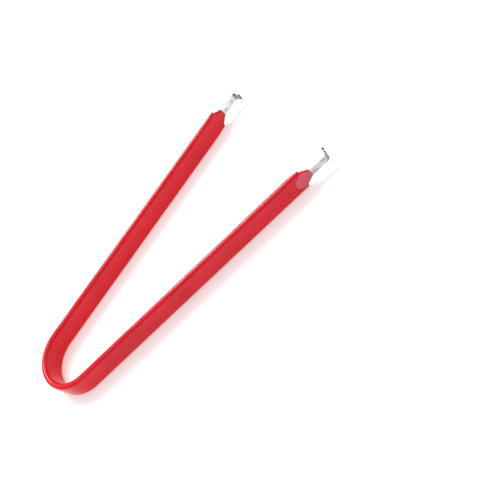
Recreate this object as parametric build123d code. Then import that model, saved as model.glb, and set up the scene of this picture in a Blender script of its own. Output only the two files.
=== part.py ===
from build123d import *
import os
from math import cos, radians, sin

# Chip extractor: a U of spring steel strip under a soft plastic coat.
# It lies on the edges of the strip. +X runs from the bow to the claws, +Y is the left arm's side,
# +Z is up across the width of the strip. Millimetres and degrees.

# ---- driving dimensions ----
overall_length = 120.6
bow_radius = 11.9            # middle of the coat's thickness, round the bow
splay = 7.7                  # each arm leans out from the middle line by this angle

strip_thickness = 0.8
strip_width = 7.0            # under the coat
strip_offset = 0.35          # the strip lies nearer the outer face of the coat
tip_width = 3.1              # bare blade beyond the coat

coat_thickness = 2.5
coat_width = 8.8
coat_edge_radius = 0.9       # leaves a narrow flat along both edges
coat_neck_root_width = 6.2   # the neck narrows like a funnel from here
coat_neck_width = 3.7        # to here, round the bare blade
coat_neck_thickness = 1.3

# Stations along an arm, measured from where it leaves the bow.
flex_station = 22.0          # the arm bends about here
strip_shoulder = 97.0
coat_taper_start = 94.0
coat_shoulder = 98.4
coat_end = 101.2

claw_turn = 78.0             # each claw turns in from its blade by this angle
claw_length = 2.3            # straight part beyond the bend
claw_bend_radius = 0.6       # inside the bend
claw_waist_width = 1.9       # the claw narrows between its root and its edge

flex_gap = 0.2               # clearance where an arm turns against the bow

# ---- derived values ----
half_thickness = coat_thickness / 2
mid_height = coat_width / 2
bow_centre_x = -overall_length / 2 + bow_radius + half_thickness
tangent_x = bow_centre_x - bow_radius * sin(radians(splay))
tangent_y = bow_radius * cos(radians(splay))
knuckle_radius = half_thickness

# The bend's place on the arm follows from the overall length: the corner of the claw's edge
# reaches furthest from the bow.
bend_middle_radius = claw_bend_radius + strip_thickness / 2
bend_outer_radius = claw_bend_radius + strip_thickness
turn_sin, turn_cos = sin(radians(claw_turn)), cos(radians(claw_turn))
edge_ahead = bend_outer_radius * turn_sin + claw_length * turn_cos
edge_inward = bend_middle_radius - strip_offset + claw_length * turn_sin - bend_outer_radius * turn_cos
edge_reach = (overall_length / 2 - tangent_x - edge_inward * sin(radians(splay))) / cos(radians(splay))
claw_bend_start = edge_reach - edge_ahead

# Local frame of the left arm: X along the arm, Y outward, Z up, middle of the coat at Y = Z = 0.
arm_frame = Location((tangent_x, tangent_y, mid_height), (0, 0, splay))


def on_arm(station):
    """Point on the middle of the left arm's coat."""
    return (tangent_x + station * cos(radians(splay)), tangent_y + station * sin(radians(splay)))


def other_side(shape):
    """The matching shape on the right of the middle line."""
    return mirror(shape, about=Plane.XZ)


def strip_along_bow(section):
    """Sweep a section round the bow and up both shanks as far as the flex stations."""
    near, tangent = on_arm(flex_station), on_arm(0)
    apex = (bow_centre_x - bow_radius, 0)
    left_shank = Line((*near, mid_height), (*tangent, mid_height))
    curve = ThreePointArc((*tangent, mid_height), (*apex, mid_height), (tangent[0], -tangent[1], mid_height))
    right_shank = Line((tangent[0], -tangent[1], mid_height), (near[0], -near[1], mid_height))
    path = Wire([left_shank, curve, right_shank])
    start = Plane(origin=path @ 0, x_dir=(0, 0, 1), z_dir=path % 0)
    return sweep(start * section, path=path)


def stepped_outline(start, shoulder, end, full_width, root_width, end_width, shoulder_round, root_round):
    """Side view of a bar that steps in to a neck, with round shoulders and roots."""
    upper = [
        (start, full_width / 2),
        (shoulder, full_width / 2),
        (shoulder, root_width / 2),
        (end, end_width / 2),
    ]
    lower = [(x, -z) for x, z in reversed(upper)]
    outline = make_face(Polyline(*upper, *lower, close=True))
    corners = outline.vertices().filter_by_position(Axis.X, shoulder - 0.01, shoulder + 0.01)
    roots = corners.sort_by(lambda corner: abs(corner.Y))[:2]
    outline = fillet(roots, root_round)
    corners = outline.vertices().filter_by_position(Axis.X, shoulder - 0.01, shoulder + 0.01)
    shoulders = corners.sort_by(lambda corner: abs(corner.Y))[-2:]
    return fillet(shoulders, shoulder_round)


def claw_path():
    """Middle line of the bare tip: the blade, the bend and the claw that turns inward."""
    blade = Line((strip_shoulder, strip_offset), (claw_bend_start, strip_offset))
    bend = JernArc(blade @ 1, blade % 1, bend_middle_radius, -claw_turn)
    claw = Line(bend @ 1, bend @ 1 + (bend % 1) * claw_length)
    return Wire([blade, bend, claw])


def claw_waist(edge_plane):
    """Two round side cuts that leave the claw narrow between its root and its edge."""
    depth = (tip_width - claw_waist_width) / 2
    radius = ((claw_length / 2) ** 2 + depth ** 2) / (2 * depth)
    height = claw_waist_width / 2 + radius
    middle = edge_plane * Pos(0, 0, -claw_length / 2)
    cutter = Rot(90, 0, 0) * Cylinder(radius, 4 * strip_thickness)
    return middle * Pos(height, 0, 0) * cutter + middle * Pos(-height, 0, 0) * cutter


def knuckle(radius):
    """Round bar across the strip where the arm turns, in the arm's local frame."""
    return Pos(flex_station, 0, 0) * Cylinder(radius, 2 * coat_width)


def beyond_flex():
    """Everything on the claw side of the flex station, with the knuckle's round back."""
    reach = overall_length - flex_station
    block = Pos(flex_station + reach / 2, 0, 0) * Box(reach, coat_width, 2 * coat_width)
    return block + knuckle(knuckle_radius)


def arm_spring():
    """Left arm's strip: wide under the coat, a narrow bare blade beyond it, and the claw."""
    start = flex_station - knuckle_radius
    side = stepped_outline(
        start, strip_shoulder, claw_bend_start, strip_width, tip_width, tip_width, 0.8, 1.0)
    blade = Pos(0, strip_offset, 0) * extrude(Plane.XZ * side, strip_thickness / 2, both=True)
    path = claw_path()
    root_plane = Plane(origin=path @ 0, x_dir=(0, 1, 0), z_dir=path % 0)
    tip = sweep(root_plane * Rectangle(strip_thickness, tip_width), path=path)
    tip -= claw_waist(Plane(origin=path @ 1, x_dir=(0, 0, 1), z_dir=path % 1))
    return (blade + tip) & beyond_flex()


def arm_coat_envelope():
    """Outside of the left arm's coat: a rounded bar that thins and steps in to a neck."""
    start = flex_station - knuckle_radius
    section = Plane.YZ.offset(start) * RectangleRounded(coat_thickness, coat_width, coat_edge_radius)
    bar = extrude(section, coat_end - start)
    side = stepped_outline(
        start, coat_shoulder, coat_end, coat_width, coat_neck_root_width, coat_neck_width, 0.55, 0.7)
    taper = make_face(Polyline(
        (start, half_thickness),
        (coat_taper_start, half_thickness),
        (coat_end, strip_offset + coat_neck_thickness / 2),
        (coat_end, strip_offset - coat_neck_thickness / 2),
        (coat_taper_start, -half_thickness),
        (start, -half_thickness),
        close=True,
    ))
    bar = bar & extrude(Plane.XZ * side, coat_thickness, both=True) & extrude(taper, coat_width, both=True)
    return bar & beyond_flex()


spring_section = Pos(0, strip_offset) * Rectangle(strip_width, strip_thickness)
coat_section = RectangleRounded(coat_width, coat_thickness, coat_edge_radius)

left_turn = arm_frame * knuckle(knuckle_radius + flex_gap)
turns = left_turn + other_side(left_turn)

bow_spring = strip_along_bow(spring_section) - turns
bow_coat = strip_along_bow(coat_section) - strip_along_bow(spring_section) - turns

left_arm_spring = arm_frame * arm_spring()
left_arm_coat = arm_frame * (arm_coat_envelope() - arm_spring())

os.makedirs("parts", exist_ok=True)
export_step(bow_spring, "parts/bow_spring.step")
export_step(bow_coat, "parts/bow_coat.step")
export_step(left_arm_spring, "parts/left_arm_spring.step")
export_step(left_arm_coat, "parts/left_arm_coat.step")
export_step(other_side(left_arm_spring), "parts/right_arm_spring.step")
export_step(other_side(left_arm_coat), "parts/right_arm_coat.step")
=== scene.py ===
# %% [markdown]
# # A coated chip extractor
#
# The real tool is two pieces. One is a strip of spring steel, bent to a U, whose bare tips turn
# inward as claws. The other is a skin of red vinyl that the strip was dipped in. It lies on the
# edges of the strip. The CAD model is the frame here: it gives the size, the bodies and the
# hinges. This script models the two real pieces around it with bmesh operators and gives each
# one its finish.

# %% Load the frame
import math
import bmesh
import bpy
from mathutils import Matrix, Vector, noise


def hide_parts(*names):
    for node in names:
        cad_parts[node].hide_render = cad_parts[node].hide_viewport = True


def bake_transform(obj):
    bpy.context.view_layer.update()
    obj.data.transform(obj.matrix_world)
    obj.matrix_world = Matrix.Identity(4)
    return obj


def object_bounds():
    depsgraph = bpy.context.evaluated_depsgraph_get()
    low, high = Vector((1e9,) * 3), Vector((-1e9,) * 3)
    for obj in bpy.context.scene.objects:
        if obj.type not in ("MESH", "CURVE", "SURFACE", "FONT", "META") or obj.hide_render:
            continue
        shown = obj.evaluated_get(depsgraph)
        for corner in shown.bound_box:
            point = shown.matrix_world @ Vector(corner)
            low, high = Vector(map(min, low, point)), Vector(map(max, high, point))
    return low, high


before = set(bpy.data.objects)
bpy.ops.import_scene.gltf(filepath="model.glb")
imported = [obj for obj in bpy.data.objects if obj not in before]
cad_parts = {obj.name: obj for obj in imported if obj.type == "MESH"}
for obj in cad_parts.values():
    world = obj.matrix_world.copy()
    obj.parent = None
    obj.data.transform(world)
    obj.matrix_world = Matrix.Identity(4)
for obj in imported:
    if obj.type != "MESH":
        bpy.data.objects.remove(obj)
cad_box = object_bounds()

# %% [markdown]
# ## Where everything is
#
# Both arms are straight, and the bow between them is part of a circle. So one arm is modelled in
# a frame of its own: X runs along the arm from where it leaves the bow, Y points outward and Z
# is up, with the middle of the coat at Y = Z = 0. A place along the arm is called a station.
# Slanted points would be hard to work out by hand, and this way there are none: the finished
# arm is moved to its place in one step. The other arm is made in the same way and turned over
# with a negative scale.

# %% Sizes of the whole tool
mm = 0.001
low, high = cad_box
coat_width = high.z - low.z
coat_thickness = 2.5 * mm
mid_height = (low.z + high.z) / 2
bow_radius = 11.9 * mm                  # middle of the coat, round the bow
splay = math.radians(7.7)               # each arm leans out by this much
bow_turn = math.pi / 2 - splay          # from the end of an arm to the middle of the bow
bow_centre = Vector((low.x + coat_thickness / 2 + bow_radius, 0, mid_height))
arm_root = bow_centre + bow_radius * Vector((-math.sin(splay), math.cos(splay), 0))
arm_place = Matrix.Translation(arm_root) @ Matrix.Rotation(splay, 4, "Z")
print(f"{(high.x - low.x) / mm:.1f} mm long, coat {coat_width / mm:.1f} mm wide")

# %% [markdown]
# ## Camera
#
# The tool is small and the camera is close to it, so perspective matters: the claws look larger
# than the bow. The camera looks down past the right arm and is rolled to the left, which makes
# the arms run up and to the right of the frame. It is set before anything is modelled, so that
# every later step can be judged from the same place.

# %% Camera
aim = Vector((low.x + 80.4 * mm, -27.9 * mm, mid_height))
azimuth, elevation, roll = math.radians(-88.6), math.radians(49.9), math.radians(-50.2)
distance = 209.5 * mm
towards_camera = Vector((
    math.cos(elevation) * math.cos(azimuth),
    math.cos(elevation) * math.sin(azimuth),
    math.sin(elevation),
))
turned = towards_camera.to_track_quat("Z", "Y").to_matrix().to_4x4() @ Matrix.Rotation(roll, 4, "Z")
camera_data = bpy.data.cameras.new("camera")
camera_data.sensor_width = 36.0
camera_data.lens = 47.33
camera_data.clip_start = 10 * mm
camera = bpy.data.objects.new("camera", camera_data)
camera.matrix_world = Matrix.Translation(aim + distance * towards_camera) @ turned
bpy.context.collection.objects.link(camera)
bpy.context.scene.camera = camera
print("camera at", [round(value / mm) for value in camera.matrix_world.translation], "mm")

# %% [markdown]
# ## A section that is carried along
#
# The strip and its coat have the same kind of shape: a section that keeps its outline along the
# arm and only changes size. A beginner might reach for a stretched cube with a bevel, but the
# bow and the tips need many rings to bend smoothly. So each surface starts as one ring of
# edges, a rounded rectangle, and the ring is extruded from station to station. The ring comes
# from a small grid whose four corners are bevelled. Its face is taken away, because an extruded
# face would leave walls inside.

# %% A ring across the arm
def place(station, width, thickness, middle):
    """Matrix that puts a section one unit across at a station, at its size."""
    return Matrix.Translation((station, middle, 0)) @ Matrix.Diagonal((1, thickness, width, 1))


def make_ring(bm, section, corner_radius, segments, cuts, outer_crown=0.0, inner_crown=0.0):
    """Loop of edges round a section, with its two wide faces crowned across their width."""
    kept, kept_faces = set(bm.edges), set(bm.faces)
    station, width, thickness, middle = section
    corners = bmesh.ops.create_grid(bm, x_segments=1, y_segments=1, size=0.5)["verts"]
    upright = Matrix.Rotation(math.pi / 2, 4, "Y")
    bmesh.ops.transform(bm, matrix=place(0, width, thickness, 0) @ upright, verts=corners)
    bmesh.ops.bevel(bm, geom=corners, offset=corner_radius, segments=segments, profile=0.5,
                    affect="VERTICES", material=-1)
    flat_face = [face for face in bm.faces if face not in kept_faces]
    bmesh.ops.delete(bm, geom=flat_face, context="FACES_ONLY")
    wide_sides = [edge for edge in bm.edges if edge not in kept and edge.calc_length() > width / 3]
    bmesh.ops.subdivide_edges(bm, edges=wide_sides, cuts=cuts)
    ring = [edge for edge in bm.edges if edge not in kept]
    verts = list({vert for edge in ring for vert in edge.verts})
    for vert in verts:
        crown = outer_crown if vert.co.y > 0 else inner_crown
        vert.co.y *= 1 - crown * (2 * vert.co.z / width) ** 2
    bmesh.ops.transform(bm, matrix=Matrix.Translation((station, middle, 0)), verts=verts)
    return ring


# %% Carrying a ring to the next station
def carry(bm, ring, matrix):
    """Extrude a ring of edges, move the new ring and return its edges."""
    made = bmesh.ops.extrude_edge_only(bm, edges=ring)["geom"]
    verts = {part for part in made if isinstance(part, bmesh.types.BMVert)}
    bmesh.ops.transform(bm, matrix=matrix, verts=list(verts))
    edges = [part for part in made if isinstance(part, bmesh.types.BMEdge)]
    return [edge for edge in edges if verts.issuperset(edge.verts)]


def grow(bm, ring, start, sections):
    """Carry a ring from its first section through the others."""
    for section in sections:
        ring = carry(bm, ring, place(*section) @ place(*start).inverted())
        start = section
    return ring


def stations(start, end, spacing):
    """Even steps from a station, which is left out, to another."""
    count = max(1, round((end - start) / spacing))
    return [start + (end - start) * step / count for step in range(1, count + 1)]


# %% [markdown]
# ## Round the bow
#
# From station 0 the same ring goes the other way, round the bow, with spin. It stops at the
# middle of the tool, because each half of the U is a piece of its own. On the real tool strip
# and coat run through in one, but a soft piece here can bend across one hinge only, and the tool
# has two. The halves meet where nothing bends. The last slice of the spin is very thin, so
# that the surface shades as if it went on, and the join doesn't show.

# %% Spinning a ring to the middle of the bow
def spin_to_middle(bm, ring, steps=44, last_slice=0.05 * mm):
    """Spin a ring at station 0 to the middle of the bow and return its last ring."""
    sliver = last_slice / bow_radius
    for angle, count in ((bow_turn - sliver, steps), (sliver, 1)):
        made = bmesh.ops.spin(bm, geom=ring, cent=(0, -bow_radius, 0), axis=(0, 0, 1), angle=angle,
                              steps=count, use_duplicate=False)
        ring = [part for part in made["geom_last"] if isinstance(part, bmesh.types.BMEdge)]
    return ring


# %% [markdown]
# ## Laying the tool out straight
#
# Rolling marks, scratches and stains follow the strip, not the room. So each point also gets
# the place that it would have if the tool were laid out straight: how far along it is, how far
# out from the middle and how far up. The distance along runs on from the left tip to the right
# one, so the two arms don't share the same scratches. A second value, the station, is the same
# on both arms, for what both have, such as the bend in each tip. Both are stored on the
# piece in millimetres and its materials read them.

# %% Straightened places
def straighten(point):
    """Station, distance outward and height of a point in the arm's frame, round the bow too."""
    if point.x >= 0:
        return point.copy()
    from_centre = Vector((point.x, point.y + bow_radius))
    angle = math.atan2(point.x, point.y + bow_radius)
    return Vector((bow_radius * angle, from_centre.length - bow_radius, point.z))


def bend_back(straight):
    """The opposite of straighten."""
    if straight.x >= 0:
        return straight.copy()
    angle = straight.x / bow_radius
    radius = bow_radius + straight.y
    return Vector((radius * math.sin(angle), radius * math.cos(angle) - bow_radius, straight.z))


def finish_mesh(bm, name, side):
    """Store the straightened places, put the half in its place and make it an object."""
    spots = [straighten(vert.co) for vert in bm.verts]
    middle_station = -bow_radius * bow_turn
    along = [spot.x if side > 0 else 2 * middle_station - spot.x for spot in spots]
    bmesh.ops.transform(bm, matrix=arm_place, verts=bm.verts)
    if side < 0:
        bmesh.ops.transform(bm, matrix=Matrix.Diagonal((1, -1, 1, 1)), verts=bm.verts)
    bmesh.ops.recalc_face_normals(bm, faces=bm.faces)
    crease = math.radians(50)
    for edge in bm.edges:
        edge.smooth = edge.calc_face_angle(0) < crease
    for face in bm.faces:
        face.smooth = True
    mesh = bpy.data.meshes.new(name)
    bm.to_mesh(mesh)
    bm.free()
    straight = [(distance / mm, spot.y / mm, spot.z / mm) for spot, distance in zip(spots, along)]
    mesh.attributes.new("straightened", "FLOAT_VECTOR", "POINT")
    numbers = [number for spot in straight for number in spot]
    mesh.attributes["straightened"].data.foreach_set("vector", numbers)
    mesh.attributes.new("station", "FLOAT", "POINT")
    mesh.attributes["station"].data.foreach_set("value", [spot.x / mm for spot in spots])
    piece = bpy.data.objects.new(name, mesh)
    bpy.context.collection.objects.link(piece)
    print(name, len(mesh.polygons), "faces")
    return piece


# %% [markdown]
# ## The spring strip
#
# The strip is sheared from thin steel. It is wide under the coat, steps in to a narrow bare
# blade, bends inward a little short of a right angle and ends in a claw that is nipped in at its
# waist, so that its edge keeps two sharp corners that slip under a chip. It is not in the
# middle of the coat but nearer the outside. Its section is a rectangle with edges that are only
# just broken, as shearing leaves them.

# %% Sizes of the strip
strip_thickness = 0.8 * mm
strip_width = 7.0 * mm
strip_offset = 0.35 * mm
broken_edge = 0.09 * mm
tip_width = 3.1 * mm
strip_shoulder = 97.0 * mm
strip_step = 0.9 * mm                    # length over which the strip narrows to the blade
claw_turn = math.radians(78)
claw_length = 2.3 * mm
claw_waist = 1.9 * mm
edge_trim = 0.10                         # share of its width that the claw loses up to its edge
bend_radius = 0.6 * mm + strip_thickness / 2       # middle of the strip, round the bend
outer_radius = bend_radius + strip_thickness / 2
edge_ahead = outer_radius * math.sin(claw_turn) + claw_length * math.cos(claw_turn)
edge_inward = bend_radius - strip_offset + claw_length * math.sin(claw_turn)
edge_inward -= outer_radius * math.cos(claw_turn)
edge_reach = (high.x - arm_root.x - edge_inward * math.sin(splay)) / math.cos(splay)
bend_start = edge_reach - edge_ahead
print(f"the bend starts {bend_start / mm:.1f} mm up the arm")

# %% Strip under the coat and blade beyond it
def strip_section(station, width, growth=0.0):
    """Section of the strip at a station, or of the hollow that it fills when growth is given."""
    return (station, width + growth, strip_thickness + growth, strip_offset)


def quarter(steps):
    """Angles of a quarter turn, without its start."""
    return [step / steps * math.pi / 2 for step in range(1, steps + 1)]


def strip_sections(end, growth=0.0):
    """Sections from station 0 up the arm, round the shoulder and along the blade."""
    sections = [strip_section(at, strip_width, growth) for at in stations(0, strip_shoulder, 1 * mm)]
    for angle in quarter(6):
        width = tip_width + (strip_width - tip_width) * math.cos(angle) ** 2
        sections.append(strip_section(strip_shoulder + strip_step * math.sin(angle), width, growth))
    blade_start = strip_shoulder + strip_step
    sections += [strip_section(at, tip_width, growth) for at in stations(blade_start, end, 0.5 * mm)]
    return sections


# %% [markdown]
# The bend is one more spin, by the claw's angle about a line just inside the blade. Past it the
# ring is carried on along the claw, while its width follows a round cut from each side. The two
# open ends of the strip are closed last.

# %% Bend and claw
def add_claw(bm, ring, steps=14):
    """Spin the blade's last ring round the bend and carry it to the claw's edge."""
    bend_centre = (bend_start, strip_offset - bend_radius, 0)
    made = bmesh.ops.spin(bm, geom=ring, cent=bend_centre, axis=(0, 0, 1), angle=-claw_turn, steps=12,
                          use_duplicate=False)
    ring = [part for part in made["geom_last"] if isinstance(part, bmesh.types.BMEdge)]
    depth = (tip_width - claw_waist) / 2
    cut_radius = ((claw_length / 2) ** 2 + depth ** 2) / (2 * depth)
    step = Vector((math.cos(claw_turn), -math.sin(claw_turn), 0)) * claw_length / steps
    width = tip_width
    for count in range(1, steps + 1):
        from_waist = claw_length * (count / steps - 0.5)
        new_width = claw_waist + 2 * (cut_radius - math.sqrt(cut_radius ** 2 - from_waist ** 2))
        new_width *= 1 - edge_trim * count / steps
        nip = Matrix.Diagonal((1, 1, new_width / width, 1))
        ring = carry(bm, ring, Matrix.Translation(step) @ nip)
        width = new_width
    return ring


def make_strip(side, name):
    """One half of the spring strip, from the middle of the bow to the claw."""
    bm = bmesh.new()
    start = strip_section(0, strip_width)
    ring = make_ring(bm, start, broken_edge, segments=2, cuts=9)
    bow_end = spin_to_middle(bm, ring)
    blade_end = grow(bm, ring, start, strip_sections(bend_start))
    claw_edge = add_claw(bm, blade_end)
    for open_end in (bow_end, claw_edge):
        bmesh.ops.holes_fill(bm, edges=open_end, sides=0)
    return finish_mesh(bm, name, side)


strips = {side: make_strip(side, name) for side, name in ((1, "left_spring"), (-1, "right_spring"))}

# %% [markdown]
# ## The coat
#
# A dipped skin is soft all over: its long edges are rounded nearly to a full circle, its wide
# faces are a little crowned, and it thins towards the tip. At the shoulder it steps in and runs
# down like the neck of a bottle to the bare blade. The section's size along the arm is therefore
# a few short formulas: flat, round shoulder, round root, funnel and lip.

# %% Sizes of the coat
coat_edge_radius = 1.1 * mm
outer_crown, inner_crown = 0.20, 0.07
taper_start = 94.0 * mm
coat_shoulder = 98.4 * mm
coat_end = 101.2 * mm
neck_root_width = 6.2 * mm
neck_width = 3.7 * mm
neck_thickness = 1.3 * mm
shoulder_round = 0.55 * mm
root_round = 0.7 * mm
funnel_curve = 1.4                       # 1 would make the neck's sides straight
lip_round = 0.18 * mm


def coat_section(station, width):
    """Section of the coat: past the taper's start both faces close in on the strip."""
    share = max(0.0, (station - taper_start) / (coat_end - taper_start))
    outer = coat_thickness / 2 * (1 - share) + (strip_offset + neck_thickness / 2) * share
    inner = -coat_thickness / 2 * (1 - share) + (strip_offset - neck_thickness / 2) * share
    return (station, width, outer - inner, (outer + inner) / 2)


# %% The coat's outline from the bow to its lip
def coat_sections():
    """Sections from station 0 up the arm: bar, shoulder, root of the neck, funnel and lip."""
    sections = [coat_section(at, coat_width) for at in stations(0, taper_start, 1 * mm)]
    flat_end = coat_shoulder - shoulder_round
    sections += [coat_section(at, coat_width) for at in stations(taper_start, flat_end, 0.4 * mm)]
    for angle in quarter(7):
        station = flat_end + shoulder_round * math.sin(angle)
        sections.append(coat_section(station, coat_width - 2 * shoulder_round * (1 - math.cos(angle))))
    for angle in quarter(7):
        station = coat_shoulder + root_round * (1 - math.cos(angle))
        sections.append(coat_section(station, neck_root_width + 2 * root_round * (1 - math.sin(angle))))
    root_end, lip_start = coat_shoulder + root_round, coat_end - lip_round
    for station in stations(root_end, lip_start, 0.3 * mm):
        left = (lip_start - station) / (lip_start - root_end)
        width = neck_width + (neck_root_width - neck_width) * left ** funnel_curve
        sections.append(coat_section(station, width))
    for angle in quarter(4):
        _, width, thickness, middle = coat_section(coat_end, neck_width)
        shrink = 2 * lip_round * (1 - math.cos(angle))
        station = lip_start + lip_round * math.sin(angle)
        sections.append((station, width - shrink, thickness - shrink, middle))
    return sections


# %% [markdown]
# ### Touching up the skin
#
# Dipped vinyl is never quite even. A slow wave of a few hundredths of a millimetre is enough to
# make the reflections on the long faces wander as they do on the real one. The wave only
# presses in, so the tool stays inside its box, and it is worked out from the place in the
# whole tool, so it runs on across the middle of the bow. Near each tip the skin was pressed flat
# while it was soft. A plane that cuts a crowned face leaves such a flat with a curved border, so
# the points above that plane are brought down to it, as far as the blade below still has a skin.

# %% Waves and flats
wave_length = 14 * mm                   # about the distance from one swell to the next
wave_depth = 0.045 * mm
flat_start = 94.6 * mm
flat_slope = 0.085
thinnest_skin = 0.12 * mm               # left over the blade under the flat


def touch_up(bm, side):
    """Press slow waves into the skin and a flat into the outer face near the tip."""
    for vert in bm.verts:
        spot = straighten(vert.co)
        whole = arm_place @ vert.co
        whole.y *= side
        wave = 0.5 + 0.5 * noise.noise(whole / wave_length)
        spot.y -= math.copysign(min(abs(spot.y), wave_depth * wave), spot.y)
        spot.z *= 1 - wave_depth * wave / coat_width
        flat_height = coat_thickness / 2 - flat_slope * (spot.x - flat_start)
        flat_height = max(flat_height, strip_offset + strip_thickness / 2 + thinnest_skin)
        if spot.x > flat_start and spot.y > flat_height:
            spot.y = flat_height
        vert.co = bend_back(spot)


# %% [markdown]
# ### A skin with an inside
#
# The coat is a real shell, so it also has an inner surface that fits round the strip. The outer
# one is made and touched up first. The inner one is grown in the same way from a second ring, a
# hair larger than the strip. At the lip bridge_loops joins the two. At the middle of the bow they
# end in one plane, and triangle_fill closes the ring between them. Solidify would have made walls
# of one thickness, but this skin is thick at its rounded edges and thin over the blade.

# %% Coat
skin_clearance = 0.02 * mm


def make_coat(side, name):
    """One half of the coat, from the middle of the bow to its lip."""
    bm = bmesh.new()
    start = coat_section(0, coat_width)
    ring = make_ring(bm, start, coat_edge_radius, segments=12, cuts=11,
                     outer_crown=outer_crown, inner_crown=inner_crown)
    outer_bow = spin_to_middle(bm, ring)
    outer_lip = grow(bm, ring, start, coat_sections())
    touch_up(bm, side)
    start = strip_section(0, strip_width, 2 * skin_clearance)
    ring = make_ring(bm, start, broken_edge, segments=2, cuts=9)
    inner_bow = spin_to_middle(bm, ring)
    inner_lip = grow(bm, ring, start, strip_sections(coat_end - lip_round, 2 * skin_clearance))
    bmesh.ops.triangle_fill(bm, use_beauty=True, edges=outer_bow + inner_bow)
    bmesh.ops.bridge_loops(bm, edges=outer_lip + inner_lip)
    return finish_mesh(bm, name, side)


coats = {side: make_coat(side, name) for side, name in ((1, "left_coat"), (-1, "right_coat"))}

# %% [markdown]
# ## Helpers for the finishes
#
# A finish is a tree of nodes, and each node needs a kind, some settings and some sockets. A few
# short helpers keep the recipes below readable. A socket takes either a value or another node's
# output.

# %% Node helpers
def connect(tree, socket, value):
    """Give a socket a value, or a link when the value is another node's output."""
    if isinstance(value, bpy.types.NodeSocket):
        tree.links.new(value, socket)
    else:
        socket.default_value = value


def add(tree, kind, sockets, **settings):
    """Add a shader node, give it settings and sockets, and return it."""
    made = tree.nodes.new("ShaderNode" + kind)
    for name, value in settings.items():
        setattr(made, name, value)
    for name, value in sockets.items():
        connect(tree, made.inputs[name], value)
    return made


def ramp(tree, value, low_in, high_in, low_out=0.0, high_out=1.0):
    """Map a value smoothly from one range to another."""
    sockets = {"Value": value, "From Min": low_in, "From Max": high_in}
    sockets.update({"To Min": low_out, "To Max": high_out})
    return add(tree, "MapRange", sockets, interpolation_type="SMOOTHSTEP").outputs["Result"]


def figure(tree, operation, first, second=0.0):
    """Work out a number from one or two others."""
    return add(tree, "Math", {0: first, 1: second}, operation=operation).outputs[0]


def times(tree, first, second):
    return figure(tree, "MULTIPLY", first, second)


def plus(tree, first, *others):
    """Add any number of values."""
    for other in others:
        first = figure(tree, "ADD", first, other)
    return first


def length(tree, vector):
    return add(tree, "VectorMath", {0: vector}, operation="LENGTH").outputs["Value"]


def tint(tree, share, first, second):
    """Mix two colours."""
    return add(tree, "Mix", {0: share, 6: first, 7: second}, data_type="RGBA").outputs[2]


# %% Where a pattern sits
def straight_spot(tree):
    """Straightened place in millimetres, its three parts, and the station."""
    straight = add(tree, "Attribute", {}, attribute_name="straightened").outputs["Vector"]
    parts = add(tree, "SeparateXYZ", {"Vector": straight}).outputs
    station = add(tree, "Attribute", {}, attribute_name="station").outputs["Fac"]
    return straight, parts, station


def straight_place(tree, stretch):
    """Straightened place in millimetres, scaled along, outward and up."""
    place_along = add(tree, "Attribute", {}, attribute_name="straightened").outputs["Vector"]
    return add(tree, "Mapping", {"Vector": place_along, "Scale": stretch}).outputs["Vector"]


def speckle(tree, vector, scale, detail=3.0, roughness=0.55):
    """Noise from 0 to 1 at a place."""
    sockets = {"Vector": vector, "Scale": scale, "Detail": detail, "Roughness": roughness}
    return add(tree, "TexNoise", sockets).outputs["Fac"]


def new_finish(name):
    """New material, its tree and its main shader."""
    material = bpy.data.materials.new(name)
    material.use_nodes = True
    return material, material.node_tree, material.node_tree.nodes["Principled BSDF"]


# %% [markdown]
# ## Red vinyl
#
# Vinyl is coloured right through, so light goes a little way in and the red stays deep even in
# the shade. Its gloss is soft. Close up there is more to see: the colour is uneven over a
# centimetre or so, the skin has a fine orange peel, handling has left hairline scratches along
# the arms, a few specks of dust were caught in the dip, the pressed flats are paler and duller
# from wear, and the crests of the edges get paler streaks of painted highlight and are duller from
# wear. Each is one pattern, and they meet in the colour, the roughness and the bump.

# %% Colours of the vinyl
deep_red = (0.67, 0.004, 0.015, 1)
clear_red = (0.78, 0.005, 0.022, 1)
# pale pink: wear on the flats and marks, and a painted highlight on the crests of the edges
pale_wear_and_highlight_red = (0.70, 0.100, 0.145, 1)
dust_grey = (0.40, 0.16, 0.15, 1)

# %% [markdown]
# Wear sits where the tool is touched. The flat near each tip is a paler oval on the outer face.
# The two crests get paler streaks of painted highlight and are rubbed duller, so their noise is
# drawn out along the arm, by scaling its place down in that direction.

# %% Pressed flat, and crests with painted highlight and wear
flat_middle, flat_half_length, flat_half_width = 99.2, 4.5, 3.3     # millimetres, like the attributes


def pressed_flat(tree, parts, station):
    """1 on the oval flat of the outer face, 0 elsewhere."""
    along = figure(tree, "DIVIDE", figure(tree, "SUBTRACT", station, flat_middle), flat_half_length)
    up = figure(tree, "DIVIDE", parts["Z"], flat_half_width)
    reach = length(tree, add(tree, "CombineXYZ", {"X": along, "Y": up}).outputs[0])
    on_outer_face = ramp(tree, parts["Y"], 0.55, 0.75)
    return times(tree, ramp(tree, reach, 1.03, 0.95), on_outer_face)


def crest_highlight_and_wear(tree, parts):
    """Streaks of painted highlight and wear along the two crests of the coat."""
    crest = ramp(tree, figure(tree, "ABSOLUTE", parts["Z"]), 4.05, 4.38)
    streaks = speckle(tree, straight_place(tree, (0.12, 1.0, 1.0)), 1.3, detail=6.0)
    return times(tree, crest, ramp(tree, streaks, 0.45, 0.75))


# %% [markdown]
# Three small marks on the right arm are in a known place. Each is a spot of its own size: the
# place is moved and scaled so that the spot becomes a unit ball, and its length gives the edge.
# The right arm's stations run backwards from its root, because the straightened tool is one
# line from tip to tip.

# %% Marks of the mould
right_root = -2 * bow_radius * bow_turn / mm
mould_marks = [
    ((right_root - 83.8, 1.25, -1.3), (1.0, 0.5, 0.14)),       # where the skin was cut free
    ((right_root - 63.0, 1.25, -0.1), (0.22, 0.4, 0.22)),      # a pimple
    ((right_root - 5.6, 1.25, -1.7), (0.9, 0.5, 0.12)),        # a knock near the bow
]


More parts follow.
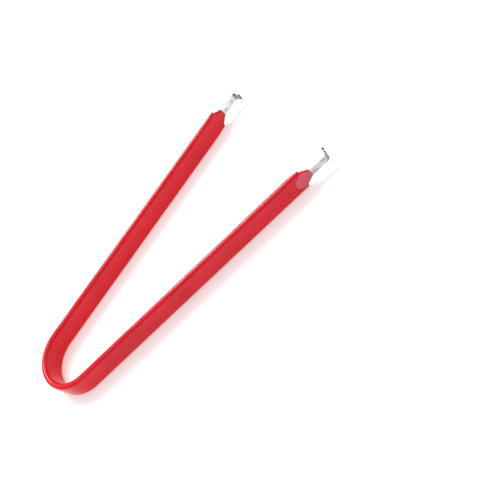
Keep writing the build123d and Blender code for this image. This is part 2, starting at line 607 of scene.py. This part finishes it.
def mould_mark(tree, straight, centre, size):
    """Small spot round a straightened place, both in millimetres."""
    sockets = {"Vector": straight, "Scale": [1 / reach for reach in size],
               "Location": [-at / reach for at, reach in zip(centre, size)]}
    near = add(tree, "Mapping", sockets).outputs["Vector"]
    return ramp(tree, length(tree, near), 1.1, 0.6)


def all_marks(tree, straight):
    marks = 0.0
    for centre, size in mould_marks:
        marks = figure(tree, "MAXIMUM", marks, mould_mark(tree, straight, centre, size))
    return marks


# %% [markdown]
# Now the patterns meet. Every one of them adds a little to the roughness or to the height, and
# the colours are laid over one another from the body of the vinyl up to the dust.

# %% Red vinyl
peel_scale = 900.0                      # fine orange peel
peel_height = 0.006 * mm


def vinyl():
    """Glossy red vinyl with its wear, and a painted highlight on its crests."""
    material, tree, shader = new_finish("red_vinyl")
    object_place = add(tree, "TexCoord", {}).outputs["Object"]
    straight, parts, station = straight_spot(tree)
    flat, crest_sheen_and_wear = pressed_flat(tree, parts, station), crest_highlight_and_wear(tree, parts)
    marks = all_marks(tree, straight)
    dots = add(tree, "TexVoronoi", {"Vector": straight, "Scale": 0.55, "Randomness": 1.0})
    dust = ramp(tree, dots.outputs["Distance"], 0.050, 0.030)
    hairline = speckle(tree, straight_place(tree, (0.05, 6.0, 6.0)), 1.0, detail=2.0)
    scratch = ramp(tree, hairline, 0.70, 0.76)

    cloudy = speckle(tree, object_place, 90.0, detail=4.0)
    colour = tint(tree, ramp(tree, cloudy, 0.3, 0.7), deep_red, clear_red)
    # paler: real wear on the pressed flat, and on the crests a painted highlight mixed with wear
    paler = figure(tree, "MAXIMUM", times(tree, flat, 0.9), times(tree, crest_sheen_and_wear, 0.5))
    colour = tint(tree, paler, colour, pale_wear_and_highlight_red)
    colour = tint(tree, times(tree, marks, 0.6), colour, pale_wear_and_highlight_red)
    colour = tint(tree, times(tree, dust, 0.6), colour, dust_grey)

    smear = speckle(tree, straight_place(tree, (0.25, 1.0, 1.0)), 0.5, detail=5.0)
    roughness = plus(tree, ramp(tree, smear, 0.25, 0.75, 0.10, 0.20), times(tree, flat, 0.14),
                     times(tree, crest_sheen_and_wear, 0.15), times(tree, scratch, 0.18))

    peel = speckle(tree, object_place, peel_scale, detail=1.0)
    height = figure(tree, "SUBTRACT", peel, times(tree, scratch, 0.8))
    height = plus(tree, height, times(tree, dust, 1.5), times(tree, marks, 6.0))
    bump = add(tree, "Bump", {"Strength": 0.25, "Distance": peel_height, "Height": height})

    connect(tree, shader.inputs["Base Color"], colour)
    connect(tree, shader.inputs["Roughness"], roughness)
    connect(tree, shader.inputs["Normal"], bump.outputs["Normal"])
    shader.inputs["Subsurface Weight"].default_value = 0.12
    shader.inputs["Subsurface Radius"].default_value = (1.0, 0.15, 0.12)
    shader.inputs["Subsurface Scale"].default_value = 0.6 * mm
    shader.inputs["IOR"].default_value = 1.5
    shader.inputs["Specular IOR Level"].default_value = 0.30
    return material


red_vinyl = vinyl()
print(red_vinyl.name, len(red_vinyl.node_tree.nodes), "nodes")

# %% [markdown]
# ## Bright spring steel
#
# The bare tips are plated steel with a satin shine. Rolling left fine lines along the strip, and
# handling has dulled it in cloudy patches. The sheared edges are darker and rougher than the
# faces. The bend and the claw are painted darker, a painted reflection, and have short lines
# across them where the steel was stretched. A thin dark line of painted reflection sits where the
# blade comes out of the coat.

# %% Colours of the steel
bright_steel = (0.70, 0.72, 0.69, 1)
dull_steel = (0.30, 0.31, 0.30, 1)
# dark steel for the sheared edges, and for a painted dark reflection on the bend and claw
edge_and_bend_reflection_steel = (0.13, 0.125, 0.125, 1)
# painted dark reflection where the blade comes out of the coat
lip_reflection_dark = (0.10, 0.08, 0.075, 1)

# %% [markdown]
# Three of these follow the shape of the strip, so they are read off the stored places: the
# sheared edges from the height, and the painted dark bend and the line of painted reflection at
# the coat's lip from the station.

# %% Edges, and the painted dark bend and lip reflection
def sheared_edges(tree, parts, station):
    """1 on the two cut edges of the blade."""
    edge_height = tip_width / mm / 2
    side = ramp(tree, figure(tree, "ABSOLUTE", parts["Z"]), edge_height - 0.16, edge_height - 0.04)
    return times(tree, side, ramp(tree, station, 97.0, 98.0))


def past_bend(tree, station):
    """1 on the bend and the claw."""
    return ramp(tree, station, bend_start / mm - 0.3, bend_start / mm + 0.9)


def lip_reflection_line(tree, station):
    """1 where the blade comes out of the coat, and under it."""
    return ramp(tree, station, coat_end / mm + 0.35, coat_end / mm)


# %% Bright spring steel
grain_height = 0.004 * mm


def steel():
    """Satin plated steel, dulled in patches, with painted dark reflections on the bend and at the
    coat's lip.
    """
    material, tree, shader = new_finish("bright_spring_steel")
    object_place = add(tree, "TexCoord", {}).outputs["Object"]
    _, parts, station = straight_spot(tree)
    sheared, bent = sheared_edges(tree, parts, station), past_bend(tree, station)
    cloud = speckle(tree, straight_place(tree, (0.45, 1.0, 1.0)), 0.6, detail=2.0)
    dull = ramp(tree, cloud, 0.42, 0.68)

    colour = tint(tree, times(tree, dull, 0.75), bright_steel, dull_steel)
    colour = tint(tree, times(tree, sheared, 0.20), colour, edge_and_bend_reflection_steel)
    # the bend and the claw painted dark: a painted reflection, not the steel's own colour
    colour = tint(tree, times(tree, bent, 0.85), colour, edge_and_bend_reflection_steel)
    # painted dark reflection where the blade comes out of the coat, and under it
    colour = tint(tree, lip_reflection_line(tree, station), colour, lip_reflection_dark)

    rolled = speckle(tree, straight_place(tree, (0.35, 14.0, 14.0)), 1.0, detail=4.0)
    across = speckle(tree, straight_place(tree, (16.0, 1.5, 1.5)), 1.0, detail=3.0)
    roughness = plus(tree, ramp(tree, rolled, 0.3, 0.7, 0.20, 0.33), times(tree, dull, 0.10),
                     times(tree, sheared, 0.20))

    grain = add(tree, "Mix", {0: bent, 2: rolled, 3: across}).outputs[0]
    pits = ramp(tree, speckle(tree, object_place, 5200.0, detail=2.0), 0.66, 0.74)
    height = figure(tree, "SUBTRACT", grain, times(tree, pits, 0.5))
    bump = add(tree, "Bump", {"Strength": 0.3, "Distance": grain_height, "Height": height})

    connect(tree, shader.inputs["Base Color"], colour)
    connect(tree, shader.inputs["Roughness"], roughness)
    connect(tree, shader.inputs["Normal"], bump.outputs["Normal"])
    shader.inputs["Metallic"].default_value = 1.0
    return material


spring_steel = steel()
print(spring_steel.name, len(spring_steel.node_tree.nodes), "nodes")

# %% [markdown]
# ## Finishes, and the frame's parts that the pieces stand for
#
# A real arm bends over its whole length when it is squeezed, most of all near the bow. The CAD
# frame has one hinge in each arm instead. Here each half gets its finish and is baked in place,
# and the CAD parts of the bow and of its arm that it stands for are hidden.

# %% Finishes, and hiding the CAD parts
for side, body in ((1, "left_arm"), (-1, "right_arm")):
    for piece, part, slot, finish in (
        (strips[side], "spring", "spring_steel", spring_steel),
        (coats[side], "coat", "coat", red_vinyl),
    ):
        piece.data.materials.append(finish)
        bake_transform(piece)
        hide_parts(f"bow_{part}", f"{body}_{part}")
        print(piece.name, "bends from the bow to", body)

# %% [markdown]
# ## Floor and light
#
# The tool lies on a pale floor in a bright tent. The light comes mostly from above, and it is
# dimmer towards the horizon, so the upright faces keep a full red. One large soft lamp stands
# high on the far side of the tool. It draws the pale line along each rounded edge and gives the
# shadows a direction. The floor glows a little, like a lit table, which keeps the shadows pale.

# %% Floor
floor_mesh = bpy.data.meshes.new("floor")
bm = bmesh.new()
bmesh.ops.create_grid(bm, x_segments=1, y_segments=1, size=2.0)
bm.to_mesh(floor_mesh)
bm.free()
floor = bpy.data.objects.new("floor", floor_mesh)
bpy.context.collection.objects.link(floor)
floor_finish, _, floor_shader = new_finish("floor")
floor_shader.inputs["Base Color"].default_value = (0.93, 0.93, 0.93, 1)
floor_shader.inputs["Roughness"].default_value = 0.7
floor_shader.inputs["Emission Color"].default_value = (1, 1, 1, 1)
floor_shader.inputs["Emission Strength"].default_value = 0.27
floor.data.materials.append(floor_finish)
print(floor.name, [round(size, 2) for size in floor.dimensions], "m")

# %% Light
world = bpy.data.worlds.new("tent")
bpy.context.scene.world = world
world.use_nodes = True
tent = world.node_tree
direction = add(tent, "TexCoord", {}).outputs["Generated"]
upward = add(tent, "SeparateXYZ", {"Vector": direction}).outputs["Z"]
brightness = ramp(tent, upward, 0.0, 0.8, 0.25, 0.85)
connect(tent, tent.nodes["Background"].inputs["Strength"], brightness)
tent.nodes["Background"].inputs["Color"].default_value = (1, 1, 1, 1)

lamp_data = bpy.data.lights.new("soft_lamp", "AREA")
lamp_data.shape = "DISK"
lamp_data.size = 0.38
lamp_data.energy = 3.2
lamp = bpy.data.objects.new("soft_lamp", lamp_data)
lamp_place = Vector((0.02, 0.43, 0.56))
towards_tool = lamp_place.to_track_quat("Z", "Y").to_matrix().to_4x4()
lamp.matrix_world = Matrix.Translation(lamp_place) @ towards_tool
bpy.context.collection.objects.link(lamp)
bpy.context.scene.view_settings.view_transform = "Standard"
print(lamp.name, f"{lamp_place.length:.2f} m from the middle of the tool")
